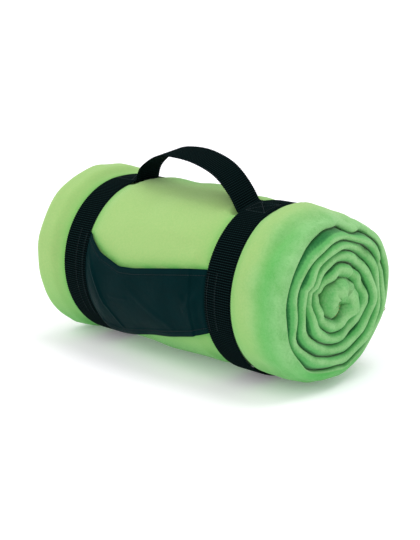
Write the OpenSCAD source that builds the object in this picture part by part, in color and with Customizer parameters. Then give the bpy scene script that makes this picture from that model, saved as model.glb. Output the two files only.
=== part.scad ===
// Rolled fleece camp blanket in a webbing carrier.
// The roll lies along X and rests on the plane z = 0; -Y is the front, where the panel is.
// Angles on the roll are measured in the YZ plane about its axis: 0 is the back, 90 the top,
// 180 the front and 270 (or -90) the underside.

/* [Blanket roll] */
// Length of the rolled blanket along its axis
roll_length = 300; // [230:5:380]
// Radius of the roll where the carrier grips it and where the straps slide along
roll_radius = 72.4; // [55:0.2:95]
// Half of the flat stretch that the roll's own weight squashes into its top and bottom
roll_squash = 4.5; // [1:0.5:10]
// How far the loose left end swells beyond the gripped radius
loose_end_swell = 9.6; // [5:0.2:16]
// Length of the loose left end, up to the left strap
loose_end_length = 35.5; // [26:0.5:60]
// Rounding of the loose left end's outer edge
loose_end_rounding = 15; // [6:0.5:20]
// Rounding of the right end's outer edge
right_end_rounding = 27; // [10:0.5:35]
// Radius of the overlocked hem where the blanket's last turn ends
hem_bead_radius = 1.2; // [0.6:0.1:2]
// Angle at which the last turn ends
hem_angle = -20; // [-40:1:0]

/* [Carrier] */
// Width of the webbing
webbing_width = 29; // [20:0.5:40]
// Thickness of the webbing
webbing_thickness = 1.4; // [0.8:0.1:2.4]
// Distance between the two straps' facing edges
strap_gap = 150; // [110:1:190]
// Running clearance between the roll and what the carrier lays on it
roll_clearance = 0.35; // [0.3:0.05:1]
// Angle at which the back strap starts to swing open, behind the handle
open_angle = 62; // [50:1:75]
// Angle at which the closure tail starts to peel
peel_angle = -5; // [-15:1:10]
// Arc of the ramp that lifts the tail over the strap's inner end
ramp_arc = 9; // [6:1:16]
// Arc over which the tail overlaps the strap's inner end
overlap_arc = 40; // [20:1:48]
// Gap between webbing ends that meet at a hinge line
hinge_gap = 0.4; // [0.3:0.1:1]

/* [Closure] */
// Thickness of the loop tape and of the hook tape
tape_thickness = 1.1; // [0.6:0.1:2]
// Gap between the closed hook and loop faces
tape_gap = 0.3; // [0.3:0.05:0.6]
// Margin between the tapes' edges and the webbing's edges
tape_margin = 1.5; // [0.5:0.1:4]
// Arc left bare at the tail's tip, to grip it by
grip_arc = 4; // [2:0.5:8]

/* [Handle] */
// Height of the handle's arch above its roots
handle_height = 35; // [22:1:60]
// Length of the handle's sewn ends under the straps
handle_end_length = 25; // [14:1:27]
// Angle of the left root, at the top of the roll
left_root_angle = 90; // [84:1:100]
// Angle of the right root, which sits a little towards the front
right_root_angle = 104; // [90:1:108]
// Distance from a strap's edge to where the handle bends up
root_standoff = 1.6; // [1:0.1:3]
// Height above the roots of the lowest corners of the handle's mitred ends
swing_height = 0.63; // [0.3:0.01:3]
// Angle of the mitres that keep the swinging arch clear of its sewn ends
swing_mitre = 30; // [20:1:30]

/* [Panel] */
// Thickness of the coated cloth
panel_thickness = 0.6; // [0.3:0.1:1]
// How far the panel runs under each strap
panel_tuck = 14; // [8:1:20]
// How far the panel stands out over the fleece between the straps
panel_crown = 4.2; // [2:0.1:6]
// Distance over which the panel rises from under a strap
panel_rise_length = 16; // [8:1:24]
// Angle of the top edge at the left strap
panel_top_left = 152; // [140:1:160]
// How far the slack top edge drops away from the left strap
panel_top_drop = 17.4; // [5:0.1:20]
// Length of that drop along the roll
panel_drop_length = 45; // [20:1:60]
// Angle by which the top edge climbs back at the right strap
panel_top_climb = 10.5; // [0:0.5:14]
// Angle of the bottom edge near the left strap
panel_bottom_left = 225; // [215:1:245]
// Angle of the bottom edge at the right strap
panel_bottom_right = 203; // [195:1:225]

/* [Sewing and label] */
// Width of a line of sewing thread
thread_width = 0.6; // [0.3:0.1:1]
// How far the thread stands proud
thread_height = 0.3; // [0.2:0.1:0.5]
// Distance of a seam from the edge that it follows
seam_margin = 4; // [2:0.5:7]
// Width of the care label
label_width = 20; // [10:1:26]
// Length of the care label
label_length = 29; // [15:1:36]
// Thickness of the folded label
label_thickness = 0.8; // [0.4:0.1:1.5]

/* [Hidden] */
$fn = 96;

// A hair of air between layers that are sewn together
sewn_gap = 0.05;
// Radii of the layers round the roll, from the inside out
under_inner = roll_radius + roll_clearance;
under_outer = under_inner + webbing_thickness;
strap_inner = under_outer + sewn_gap;
strap_outer = strap_inner + webbing_thickness;
loop_inner = strap_outer + sewn_gap;
loop_outer = loop_inner + tape_thickness;
hook_inner = loop_outer + tape_gap;
hook_outer = hook_inner + tape_thickness;
tail_inner = hook_outer + sewn_gap;
tail_outer = tail_inner + webbing_thickness;
loose_radius = roll_radius + loose_end_swell;

// Height of the roll's axis: the straps just touch the ground
axis_z = strap_outer;
// Larger than any radius of the model, for cutting wedges and slabs
reach = 2 * (tail_outer + handle_height);

// Places along the roll
roll_start = -roll_length / 2;
left_strap_x = roll_start + loose_end_length + 1;
left_inner_x = left_strap_x + webbing_width;
right_inner_x = left_inner_x + strap_gap;
right_strap_x = right_inner_x;

// Arcs of the closure, all on the back of the roll
tail_flat_angle = peel_angle - ramp_arc;
tail_tip_angle = tail_flat_angle - overlap_arc;
inner_end_angle = tail_flat_angle - 1;
tape_start_angle = inner_end_angle - 2;
tape_end_angle = tail_tip_angle + grip_arc;

// The two ways of measuring an arc: an angle for a length at the strap's outside
function arc_of(length) = length / strap_outer * 180 / PI;
half_hinge_gap = arc_of(hinge_gap / 2);

// Centres of the two half rounds of the squashed section
front_centre = [-roll_squash, 0];
back_centre = [roll_squash, 0];

// ---------------------------------------------------------------- flat shapes
// The squashed round of the roll at a given radius
module section(radius) {
    translate(front_centre) circle(radius);
    translate(back_centre) circle(radius);
    translate([-roll_squash, -radius]) square([2 * roll_squash, 2 * radius]);
}

// A band that follows the section between two radii
module band(inner, outer) {
    difference() {
        section(outer);
        section(inner);
    }
}

// A wedge between two angles, with its tip at a centre of the section
module wedge(from, to, tip) {
    steps = 8;
    translate(tip)
        polygon(concat([[0, 0]],
            [for (i = [0 : steps]) reach * [cos(from + (to - from) * i / steps),
                                            sin(from + (to - from) * i / steps)]]));
}

// The part of a band between two angles
module arc_band(inner, outer, from, to, tip) {
    intersection() {
        band(inner, outer);
        wedge(from, to, tip);
    }
}

// ------------------------------------------------------------- placing shapes
// Draws a flat YZ shape on the roll's axis, from a place along X
module along_roll(start, length) {
    translate([start, 0, axis_z])
        rotate([90, 0, 90])
            linear_extrude(length)
                children();
}

// A closed shell from a grid of points on its inner and outer faces
module grid_shell(inner, outer) {
    rows = len(inner);
    cols = len(inner[0]);
    count = rows * cols;
    points = concat([for (row = inner) each row], [for (row = outer) each row]);
    function at(r, c) = r * cols + c;
    faces = concat(
        [for (r = [0 : rows - 2], c = [0 : cols - 2])
            each [[at(r, c), at(r, c + 1), at(r + 1, c + 1)],
                  [at(r, c), at(r + 1, c + 1), at(r + 1, c)]]],
        [for (r = [0 : rows - 2], c = [0 : cols - 2])
            each [[count + at(r, c), count + at(r + 1, c + 1), count + at(r, c + 1)],
                  [count + at(r, c), count + at(r + 1, c), count + at(r + 1, c + 1)]]],
        [for (r = [0 : rows - 2])
            each [[at(r, 0), at(r + 1, 0), count + at(r + 1, 0)],
                  [at(r, 0), count + at(r + 1, 0), count + at(r, 0)],
                  [at(r + 1, cols - 1), at(r, cols - 1), count + at(r, cols - 1)],
                  [at(r + 1, cols - 1), count + at(r, cols - 1), count + at(r + 1, cols - 1)]]],
        [for (c = [0 : cols - 2])
            each [[at(0, c + 1), at(0, c), count + at(0, c)],
                  [at(0, c + 1), count + at(0, c), count + at(0, c + 1)],
                  [at(rows - 1, c), at(rows - 1, c + 1), count + at(rows - 1, c + 1)],
                  [at(rows - 1, c), count + at(rows - 1, c + 1), count + at(rows - 1, c)]]]);
    polyhedron(points, faces, convexity = 4);
}

// -------------------------------------------------------------- the blanket
// Points of a quarter round in the (radius, length) plane of the roll's outline
function quarter(centre, r, from) =
    [for (i = [0 : 8]) centre + r * [cos(from + 90 * i / 8), sin(from + 90 * i / 8)]];

// Outline of the roll: half of its lengthwise section, as (radius, place along X)
module roll_outline() {
    loose_end = roll_start + loose_end_length;
    polygon(concat(
        [[0, roll_start]],
        quarter([loose_radius - loose_end_rounding, roll_start + loose_end_rounding],
                loose_end_rounding, -90),
        [[loose_radius, loose_end - loose_end_swell],
         [loose_radius - 0.2 * loose_end_swell, loose_end - 0.45 * loose_end_swell],
         [roll_radius, loose_end]],
        quarter([roll_radius - right_end_rounding, roll_length / 2 - right_end_rounding],
                right_end_rounding, 0),
        [[0, roll_length / 2]]));
}

// Turns the outline round the back centre of the squashed section
module back_half() {
    translate([0, roll_squash, axis_z])
        rotate([0, 90, 0])
            rotate_extrude(angle = 180)
                roll_outline();
}

// The overlocked edge of the last turn, let into the roll's surface
module hem_line(radius) {
    along_roll(roll_start + loose_end_length, roll_length - loose_end_length - right_end_rounding)
        translate(back_centre + (roll_radius - hem_bead_radius) * [cos(hem_angle), sin(hem_angle)])
            circle(radius, $fn = 24);
}

module fleece_blanket() {
    color("yellowgreen")
        difference() {
            union() {
                back_half();
                mirror([0, 1, 0]) back_half();
                translate([0, -roll_squash, axis_z])
                    rotate([-90, 0, 0])
                        rotate([0, 0, -90])
                            linear_extrude(2 * roll_squash)
                                union() {
                                    roll_outline();
                                    mirror([1, 0]) roll_outline();
                                }
            }
            // The ground presses the loose end flat
            translate([-roll_length, -reach, -reach]) cube([2 * roll_length, 2 * reach, reach]);
            hem_line(hem_bead_radius);
        }
}

module hem_overlock() {
    color("olive") hem_line(hem_bead_radius);
}

// The label hangs from the hem on the loose end, which no strap passes
module care_label() {
    top = axis_z + loose_radius * sin(hem_angle);
    side = roll_squash + loose_radius * cos(hem_angle) + roll_clearance;
    start = roll_start + (loose_end_length - loose_end_swell - label_width) / 2 + 2;
    color("white")
        translate([start, side, top - label_length])
            cube([label_width, label_thickness, label_length]);
}

// -------------------------------------------------------------- the webbing
// A strap from the hinge line behind the handle, over the top, down the front and
// under the roll to its inner end on the back
module strap(x) {
    color("#101c1c")
        along_roll(x, webbing_width)
            difference() {
                band(strap_inner, strap_outer);
                wedge(inner_end_angle, open_angle + half_hinge_gap, back_centre);
            }
}

// The stretch down the back, which swings open
module back_strap(x) {
    color("#142222")
        along_roll(x, webbing_width)
            arc_band(strap_inner, strap_outer, peel_angle + half_hinge_gap,
                     open_angle - half_hinge_gap, back_centre);
}

// The free end of the strap, which laps over the inner end and peels off it
module closure_tail(x) {
    steps = 36;
    start = peel_angle - half_hinge_gap;
    // A point of the tail: it climbs from one radius to another along the ramp
    function spot(i, from, to) =
        let (angle = start + (tail_tip_angle - start) * i / steps,
             share = min((start - angle) / ramp_arc, 1))
        (from + (to - from) * (1 - cos(180 * share)) / 2) * [cos(angle), sin(angle)];
    color("#182828")
        along_roll(x, webbing_width)
            translate(back_centre)
                polygon(concat(
                    [for (i = [0 : steps]) spot(i, strap_outer, tail_outer)],
                    [for (i = [steps : -1 : 0]) spot(i, strap_inner, tail_inner)]));
}

// A strip of hook or loop tape, narrower than the webbing
module tape(x, inner, outer) {
    along_roll(x + tape_margin, webbing_width - 2 * tape_margin)
        arc_band(inner, outer, tape_end_angle, tape_start_angle, back_centre);
}

// -------------------------------------------------------------- the handle
// A root lies in the layer under the strap, at an angle on the roll
function root_point(x, angle) =
    let (side = angle > 90 ? -roll_squash : 0, radius = (under_inner + under_outer) / 2)
    [x, side + radius * cos(angle), axis_z + radius * sin(angle)];
left_root = root_point(left_inner_x + root_standoff, left_root_angle);
right_root = root_point(right_inner_x - root_standoff, right_root_angle);

// How steeply each side of the arch leaves its root: the left one stands straighter
left_power = 1;
right_power = 1.7;
// The middle line of the arch at a turn of 0 to 180 from the left root to the right one
function arch_point(turn) =
    let (share = (1 - cos(turn)) / 2, power = turn < 90 ? left_power : right_power)
    left_root + share * (right_root - left_root) + [0, 0, handle_height * pow(sin(turn), power)];
// The turn at which the arch has climbed to a height, on each side
function left_turn(height) = asin(pow(height / handle_height, 1 / left_power));
function right_turn(height) = 180 - asin(pow(height / handle_height, 1 / right_power));
// Height above the roots of the line about which the handle swings, at the mitres' points
mitre_drop = webbing_width / 2 * tan(swing_mitre);
hinge_height = swing_height + mitre_drop;
// Height of the mitred edges at a share of the half width: the arch's and its sewn ends'
function arch_edge(side) = hinge_height + hinge_gap / 2 + abs(side) * mitre_drop;
function end_edge(side) = hinge_height - hinge_gap / 2 - abs(side) * mitre_drop;

// Direction across the webbing, which follows the roll's surface at the right root
function across(turn) =
    let (tilt = (right_root_angle - 90) * (1 - cos(turn)) / 2)
    [0, cos(tilt), sin(tilt)];
function unit(v) = v / norm(v);
function face_normal(turn) =
    let (step = 0.5, from = max(turn - step, 0.01), to = min(turn + step, 179.99))
    unit(cross(unit(arch_point(to) - arch_point(from)), across(turn)));

// A piece of the arch as swept webbing, between two turns that may differ across its width
module arch(from, to, steps) {
    sides = [1, 0.5, 0, -0.5, -1];
    function edge(turn, side, face) =
        arch_point(turn) + side * webbing_width / 2 * across(turn)
            + face * webbing_thickness / 2 * face_normal(turn);
    function layer(face) =
        [for (i = [0 : steps]) [for (side = sides)
            edge(from(side) + (to(side) - from(side)) * i / steps, side, face)]];
    grid_shell(layer(-1), layer(1));
}

// The sewn end under a strap: a flat tab that follows the roll
module handle_tab(start, angle) {
    along_roll(start, handle_end_length + root_standoff)
        intersection() {
            band(under_inner, under_outer);
            rotate(angle - 90)
                translate([(angle > 90 ? -roll_squash : 0) - webbing_width / 2, 0])
                    square([webbing_width, reach]);
        }
}

// Turn of the arch that is sunk in the tab, so that tab and riser are one piece
sunk_turn = 0.2;

module left_handle_end() {
    color("#0c1616") {
        handle_tab(left_inner_x - handle_end_length, left_root_angle);
        arch(function(side) sunk_turn, function(side) left_turn(end_edge(side)), 6);
    }
}

module right_handle_end() {
    color("#0c1616") {
        handle_tab(right_inner_x - root_standoff, right_root_angle);
        arch(function(side) right_turn(end_edge(side)), function(side) 180 - sunk_turn, 6);
    }
}

module carry_handle() {
    color("#14201f")
        arch(function(side) left_turn(arch_edge(side)),
             function(side) right_turn(arch_edge(side)), 32);
}

// --------------------------------------------------------------- the panel
panel_start = left_inner_x - panel_tuck;
panel_end = right_inner_x + panel_tuck;
// Place along the roll, counted from the left strap and held between the straps
function past_left(x) = min(max(x - left_inner_x, 0), strap_gap);
// Angles of the panel's slack top edge and of its bottom edge
function top_edge(x) =
    let (d = past_left(x))
    panel_top_left + panel_top_drop * sin(90 * min(d / panel_drop_length, 1))
        - panel_top_climb * max(d - panel_drop_length, 0) / (strap_gap - panel_drop_length);
function bottom_edge(x) =
    panel_bottom_left + (panel_bottom_right - panel_bottom_left) * past_left(x) / strap_gap;
// Radius of the panel's inner face: tight under the straps, crowned between them
function panel_radius(x) =
    let (from_strap = min(x - left_inner_x, right_inner_x - x),
         share = min(max(from_strap / panel_rise_length, 0), 1))
    under_outer - panel_thickness + panel_crown * (1 - cos(180 * share)) / 2;

// A patch of cloth on the front of the roll between two edges, each an angle for an x
module cloth_patch(edge_a, edge_b, lift, thickness, cols) {
    rows = 40;
    xs = [for (i = [0 : rows]) panel_start + (panel_end - panel_start) * i / rows];
    function spot(x, share, radius) =
        let (angle = edge_a(x) + (edge_b(x) - edge_a(x)) * share)
        [x, front_centre[0] + radius * cos(angle), axis_z + radius * sin(angle)];
    grid_shell([for (x = xs) [for (j = [0 : cols]) spot(x, j / cols, panel_radius(x) + lift)]],
               [for (x = xs) [for (j = [0 : cols])
                   spot(x, j / cols, panel_radius(x) + lift + thickness)]]);
}

module front_panel() {
    color("#16302f")
        cloth_patch(function(x) top_edge(x), function(x) bottom_edge(x), 0, panel_thickness, 12);
}

// -------------------------------------------------------------- the sewing
// A line of thread along the roll's round, on top of a layer
module round_seam(x, radius, from, to, tip) {
    along_roll(x, thread_width)
        arc_band(radius + sewn_gap, radius + sewn_gap + thread_height, from, to, tip);
}

// Two rows of stitches that hold a side of the panel to its strap
module panel_seam(inner_x, direction) {
    from = top_edge(inner_x) + arc_of(seam_margin);
    to = bottom_edge(inner_x) - arc_of(seam_margin);
    color("#263636")
        for (offset = [seam_margin, panel_tuck - thread_width])
            round_seam(inner_x + direction * offset, strap_outer, from, to, front_centre);
}

// The hems along the panel's top and bottom edges, between the straps
module panel_hem_stitching() {
    in = arc_of(seam_margin);
    wide = arc_of(thread_width);
    color("#2c3f3e")
        intersection() {
            union() {
                cloth_patch(function(x) top_edge(x) + in, function(x) top_edge(x) + in + wide,
                            panel_thickness + sewn_gap, thread_height, 1);
                cloth_patch(function(x) bottom_edge(x) - in - wide,
                            function(x) bottom_edge(x) - in,
                            panel_thickness + sewn_gap, thread_height, 1);
            }
            translate([left_inner_x + 1, -reach, 0]) cube([strap_gap - 2, reach, reach]);
        }
}

// One line of a box stitch: a bar laid on the strap at a place and a turn on its face
module box_line(x, angle, place, turn, length) {
    intersection() {
        along_roll(x, webbing_width)
            band(strap_outer + sewn_gap, strap_outer + sewn_gap + thread_height);
        translate([x + webbing_width / 2, 0, axis_z])
            rotate([angle - 90, 0, 0])
                translate([place[0], (angle > 90 ? -roll_squash : 0) + place[1], 0])
                    rotate(turn)
                        translate([-length / 2, -thread_width / 2, 0])
                            cube([length, thread_width, reach]);
    }
}

// A square of stitches with a cross in it, through the strap and the handle's end
module box_stitch(x, angle) {
    side = handle_end_length - seam_margin;
    inset = (side - thread_width) / 2;
    color("#263636") {
        for (way = [-1, 1]) {
            box_line(x, angle, [0, way * inset], 0, side);
            box_line(x, angle, [way * inset, 0], 90, side - 2.5 * thread_width);
            box_line(x, angle, [0, 0], way * 45, sqrt(2) * (side - 4 * thread_width));
        }
    }
}

// Two rows of stitches along a tape's edges, seen on the webbing's other face
module tape_stitching(x, radius) {
    color("#263636")
        for (offset = [tape_margin + thread_width, webbing_width - tape_margin - 2 * thread_width])
            round_seam(x + offset, radius, tape_end_angle + 1, tape_start_angle - 1, back_centre);
}

// ------------------------------------------------------------- every node
fleece_blanket();
hem_overlock();
care_label();
strap(left_strap_x);  // left_strap
strap(right_strap_x);  // right_strap
back_strap(left_strap_x);  // left_back_strap
back_strap(right_strap_x);  // right_back_strap
closure_tail(left_strap_x);  // left_closure_tail
closure_tail(right_strap_x);  // right_closure_tail
color("#1d2b2b") tape(left_strap_x, loop_inner, loop_outer);  // left_loop_tape
color("#1d2b2b") tape(right_strap_x, loop_inner, loop_outer);  // right_loop_tape
color("#080d0d") tape(left_strap_x, hook_inner, hook_outer);  // left_hook_tape
color("#080d0d") tape(right_strap_x, hook_inner, hook_outer);  // right_hook_tape
left_handle_end();
right_handle_end();
carry_handle();
front_panel();
panel_seam(left_inner_x, -1);  // left_panel_seam
panel_seam(right_inner_x, 1);  // right_panel_seam
panel_hem_stitching();
box_stitch(left_strap_x, left_root_angle);  // left_handle_box_stitch
box_stitch(right_strap_x, right_root_angle);  // right_handle_box_stitch
tape_stitching(left_strap_x, strap_inner - 2 * sewn_gap - thread_height);  // left_loop_stitching
tape_stitching(right_strap_x, strap_inner - 2 * sewn_gap - thread_height);  // right_loop_stitching
tape_stitching(left_strap_x, tail_outer);  // left_hook_stitching
tape_stitching(right_strap_x, tail_outer);  // right_hook_stitching
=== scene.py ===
"""Rolled fleece camp blanket in a webbing carrier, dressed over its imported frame."""
import logging
import math
from dataclasses import dataclass, field
from enum import Enum
from typing import Any, Callable, Optional, Sequence, Union

import bmesh
import bpy
import numpy as np
from mathutils import Matrix, Vector


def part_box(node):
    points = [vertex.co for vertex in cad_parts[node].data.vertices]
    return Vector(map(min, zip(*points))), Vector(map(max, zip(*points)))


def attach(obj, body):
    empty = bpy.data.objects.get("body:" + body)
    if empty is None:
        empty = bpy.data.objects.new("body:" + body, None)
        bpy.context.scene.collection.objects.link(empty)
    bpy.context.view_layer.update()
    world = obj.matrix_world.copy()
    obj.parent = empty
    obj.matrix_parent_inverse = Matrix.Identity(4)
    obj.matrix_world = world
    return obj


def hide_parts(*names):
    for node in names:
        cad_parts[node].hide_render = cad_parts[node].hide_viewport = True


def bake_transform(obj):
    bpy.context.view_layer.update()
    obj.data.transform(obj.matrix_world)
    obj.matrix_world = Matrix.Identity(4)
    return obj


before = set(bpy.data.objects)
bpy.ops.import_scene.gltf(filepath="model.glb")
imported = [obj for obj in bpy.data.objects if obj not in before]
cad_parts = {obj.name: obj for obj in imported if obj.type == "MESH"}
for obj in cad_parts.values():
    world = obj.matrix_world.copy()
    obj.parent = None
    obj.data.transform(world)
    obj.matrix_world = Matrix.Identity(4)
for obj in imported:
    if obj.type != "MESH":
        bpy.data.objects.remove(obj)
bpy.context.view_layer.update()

LOG = logging.getLogger("camp_blanket")
MM = 0.001
OUTER_RADIUS = 76.0
Number = Union[int, float]


# ------------------------------------------------------------------ shader maths
class Sock:
    """A node socket that takes part in Python arithmetic."""

    def __init__(self, graph: "Graph", socket: bpy.types.NodeSocket) -> None:
        """Wrap a socket of a graph.

        Args:
            graph: The graph that the socket belongs to.
            socket: The output socket to wrap.
        """
        self.graph = graph
        self.socket = socket

    def _math(self, operation: str, *values: Any) -> "Sock":
        """Return a Math node of an operation on values."""
        inputs = dict(enumerate(values))
        return self.graph.add("ShaderNodeMath", {"operation": operation}, inputs)

    def __add__(self, other: Any) -> "Sock":
        """Return self + other."""
        return self._math("ADD", self, other)

    def __radd__(self, other: Any) -> "Sock":
        """Return other + self."""
        return self._math("ADD", other, self)

    def __sub__(self, other: Any) -> "Sock":
        """Return self - other."""
        return self._math("SUBTRACT", self, other)

    def __rsub__(self, other: Any) -> "Sock":
        """Return other - self."""
        return self._math("SUBTRACT", other, self)

    def __mul__(self, other: Any) -> "Sock":
        """Return self * other."""
        return self._math("MULTIPLY", self, other)

    def __rmul__(self, other: Any) -> "Sock":
        """Return other * self."""
        return self._math("MULTIPLY", other, self)

    def sine(self) -> "Sock":
        """Return the sine of self."""
        return self._math("SINE", self)

    def band(self, low: Number, high: Number) -> "Sock":
        """Return a smooth 0 to 1 step of self between two values.

        Args:
            low: The value where the step starts.
            high: The value where the step ends.

        Returns:
            The step as a socket.
        """
        settings = {"interpolation_type": "SMOOTHSTEP"}
        return self.graph.add("ShaderNodeMapRange", settings, {0: self, 1: low, 2: high})


class Graph:
    """The node graph of one material."""

    def __init__(self, name: str) -> None:
        """Create a material with an empty graph.

        Args:
            name: The material's name.
        """
        self.material = bpy.data.materials.new(name)
        self.material.use_nodes = True
        self.tree = self.material.node_tree
        self.tree.nodes.clear()

    def add(self, kind: str, settings: Optional[dict] = None,
            inputs: Optional[dict] = None,
            output: Union[int, str, None] = 0) -> Optional[Sock]:
        """Add a node.

        Args:
            kind: The node's type.
            settings: Its properties, set before its sockets.
            inputs: Values or links for its sockets, by name or number.
            output: The output to return, None on a node that has no outputs.

        Returns:
            The wanted output as a Sock.
        """
        node = self.tree.nodes.new(kind)
        for key, value in (settings or {}).items():
            if key == "stops":
                ramp = node.color_ramp
                while len(ramp.elements) < len(value):
                    ramp.elements.new(0.5)
                for element, (place, colour) in zip(ramp.elements, value):
                    element.position = place
                    element.color = colour
            else:
                setattr(node, key, value)
        for key, value in (inputs or {}).items():
            if isinstance(value, Sock):
                self.tree.links.new(value.socket, node.inputs[key])
            else:
                node.inputs[key].default_value = value
        return None if output is None else Sock(self, node.outputs[output])

    def place(self) -> Sock:
        """Return the Object coordinates."""
        return self.add("ShaderNodeTexCoord", output="Object")

    def uv(self) -> Sock:
        """Return the piece's own UV coordinates."""
        return self.add("ShaderNodeTexCoord", output="UV")

    def split(self, vector: Sock) -> list[Sock]:
        """Return the three parts of a vector."""
        part = self.add("ShaderNodeSeparateXYZ", {}, {0: vector})
        outputs = part.socket.node.outputs
        return [Sock(self, outputs[k]) for k in range(3)]

    def noise(self, vector: Sock, scale: float, detail: float = 3.0,
              roughness: float = 0.55) -> Sock:
        """Return a noise of about 0 to 1 on a vector.

        Args:
            vector: The coordinates.
            scale: How many features there are to the metre.
            detail: The number of finer layers.
            roughness: The strength of the finer layers.

        Returns:
            The noise's factor.
        """
        inputs = {"Vector": vector, "Scale": scale, "Detail": detail, "Roughness": roughness}
        return self.add("ShaderNodeTexNoise", {}, inputs)

    def mix(self, factor: Any, first: Any, second: Any) -> Sock:
        """Return a mix of two colours.

        Args:
            factor: The share of the second colour.
            first: The first colour.
            second: The second colour.

        Returns:
            The mixed colour.
        """
        settings = {"data_type": "RGBA", "clamp_factor": True}
        return self.add("ShaderNodeMix", settings, {0: factor, 6: first, 7: second}, 2)

    def bump(self, height: Sock, distance: float, strength: float = 1.0,
             under: Optional[Sock] = None) -> Sock:
        """Return a bumped normal.

        Args:
            height: The height, 0 to 1.
            distance: What a height of 1 stands for, in metres.
            strength: The bump's strength.
            under: A normal to build on.

        Returns:
            The normal.
        """
        inputs: dict = {"Strength": strength, "Distance": distance, "Height": height}
        if under is not None:
            inputs["Normal"] = under
        return self.add("ShaderNodeBump", {}, inputs)

    def finish(self, **sockets: Any) -> bpy.types.Material:
        """Close the graph with a principled shader.

        Args:
            **sockets: Values or links by socket name, with _ for a space.

        Returns:
            The finished material.
        """
        inputs = {key.replace("_", " "): value for key, value in sockets.items()}
        shader = self.add("ShaderNodeBsdfPrincipled", {}, inputs)
        self.add("ShaderNodeOutputMaterial", {}, {"Surface": shader}, None)
        return self.material


Colour = tuple[float, float, float, float]


def shade(red: float, green: float, blue: float) -> Colour:
    """Return an opaque linear colour."""
    return (red, green, blue, 1.0)


@dataclass(frozen=True)
class Fleece:
    """Brushed polyester fleece with a short, slightly matted nap."""

    lit: Colour = shade(0.335, 0.515, 0.172)
    # deep: the painted shade of the roll's lower side, and the green of random clumps
    deep: Colour = shade(0.17, 0.47, 0.12)
    shadow: Colour = shade(0.035, 0.38, 0.05)
    fold: Colour = shade(0.255, 0.54, 0.215)
    fold_dark: Colour = shade(0.110, 0.385, 0.095)
    # flank and hollow: painted shade on the lips' sides and deep in the creases between turns
    flank: Colour = shade(0.055, 0.360, 0.085)
    hollow: Colour = shade(0.003, 0.115, 0.028)

    def make(self) -> bpy.types.Material:
        """Return the fleece's material."""
        g = Graph("fleece")
        place = g.place()
        x, _, z = g.split(place)
        clumps = g.noise(place, 520.0, 4.0, 0.6)
        nap = g.noise(place, 1900.0, 3.0, 0.7)
        drift = g.noise(place, 28.0, 2.0, 0.5)
        end = (x + drift * 0.02).band(0.112, 0.150)
        # Painted shade: the lit green turns to the deeper green towards the bottom of the roll
        low = 1 - (z + drift * 0.03).band(0.02, 0.105)
        body = g.mix(low * 0.75, self.lit, self.deep)
        body = g.mix((clumps.band(0.35, 0.62)) * 0.16, body, self.deep)
        patch = g.noise(place, 60.0, 4.0, 0.6)
        lips = g.mix(patch.band(0.3, 0.7) * 0.6 + clumps.band(0.4, 0.7) * 0.3, self.fold,
                     self.fold_dark)
        crease = g.add("ShaderNodeAttribute", {"attribute_name": "crease"}, output="Fac")
        # Painted highlight: pale flecks on the lips, scattered by the nap's noise
        lips = g.mix(nap.band(0.45, 0.75) * 0.5, lips, shade(0.38, 0.66, 0.36))
        fuzz = (clumps - 0.5) * 0.5 + (patch - 0.5) * 0.35
        # Painted shade: the lips darken to the flank green towards the creases between turns
        side = crease + fuzz
        lips = g.mix(side.band(0.15, 0.8) * 0.85, lips, self.flank)
        # Painted shade: the end face, turned away from the key light, takes the cooler fold greens
        colour = g.mix(end * 0.9, body, lips)
        # Painted shade from Blanket.shades: the outer fleece turns to the shadow green
        glow = g.add("ShaderNodeAttribute", {"attribute_name": "glow"}, output="Fac")
        colour = g.mix(glow * 0.75, colour, self.shadow)
        # Painted shade: the hollow green deepest in the creases
        colour = g.mix((crease + fuzz * 0.3).band(0.82, 1.02) * 0.85, colour, self.hollow)
        soft = g.bump(clumps, 0.0008, 0.45)
        normal = g.bump(nap, 0.0003, 0.5, soft)
        return g.finish(Base_Color=colour, Roughness=0.95, Normal=normal, Sheen_Weight=0.35,
                        Sheen_Roughness=0.45, Sheen_Tint=shade(0.75, 1.0, 0.62),
                        Specular_IOR_Level=0.12)


@dataclass(frozen=True)
class Webbing:
    """Woven polypropylene webbing, nearly black, with a ribbed face."""

    yarn: Colour = shade(0.0002, 0.0012, 0.0013)
    # The lighter colour is a painted highlight on the rib tops
    painted_rib_highlight: Colour = shade(0.0075, 0.0235, 0.0240)
    pick: float = 0.0021
    cord: float = 0.0023

    def make(self) -> bpy.types.Material:
        """Return the webbing's material."""
        g = Graph("webbing")
        u, v, _ = g.split(g.uv())
        fibre = g.noise(g.place(), 1900.0, 2.0, 0.6)
        warp = (v * (2 * math.pi / self.cord)).sine() * 0.5 + 0.5
        weft = (u * (2 * math.pi / self.pick) + math.pi / 2).sine() * 0.5 + 0.5
        height = (warp * 0.45 + 0.55) * weft * 0.75 + fibre * 0.25
        # Painted highlight on the rib tops and painted shade in the grooves between them
        colour = g.mix(height.band(0.40, 0.85), self.yarn, self.painted_rib_highlight)
        normal = g.bump(height, 0.00035, 0.8)
        return g.finish(Base_Color=colour, Roughness=0.6 + fibre * 0.2, Normal=normal,
                        Specular_IOR_Level=0.01)


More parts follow.
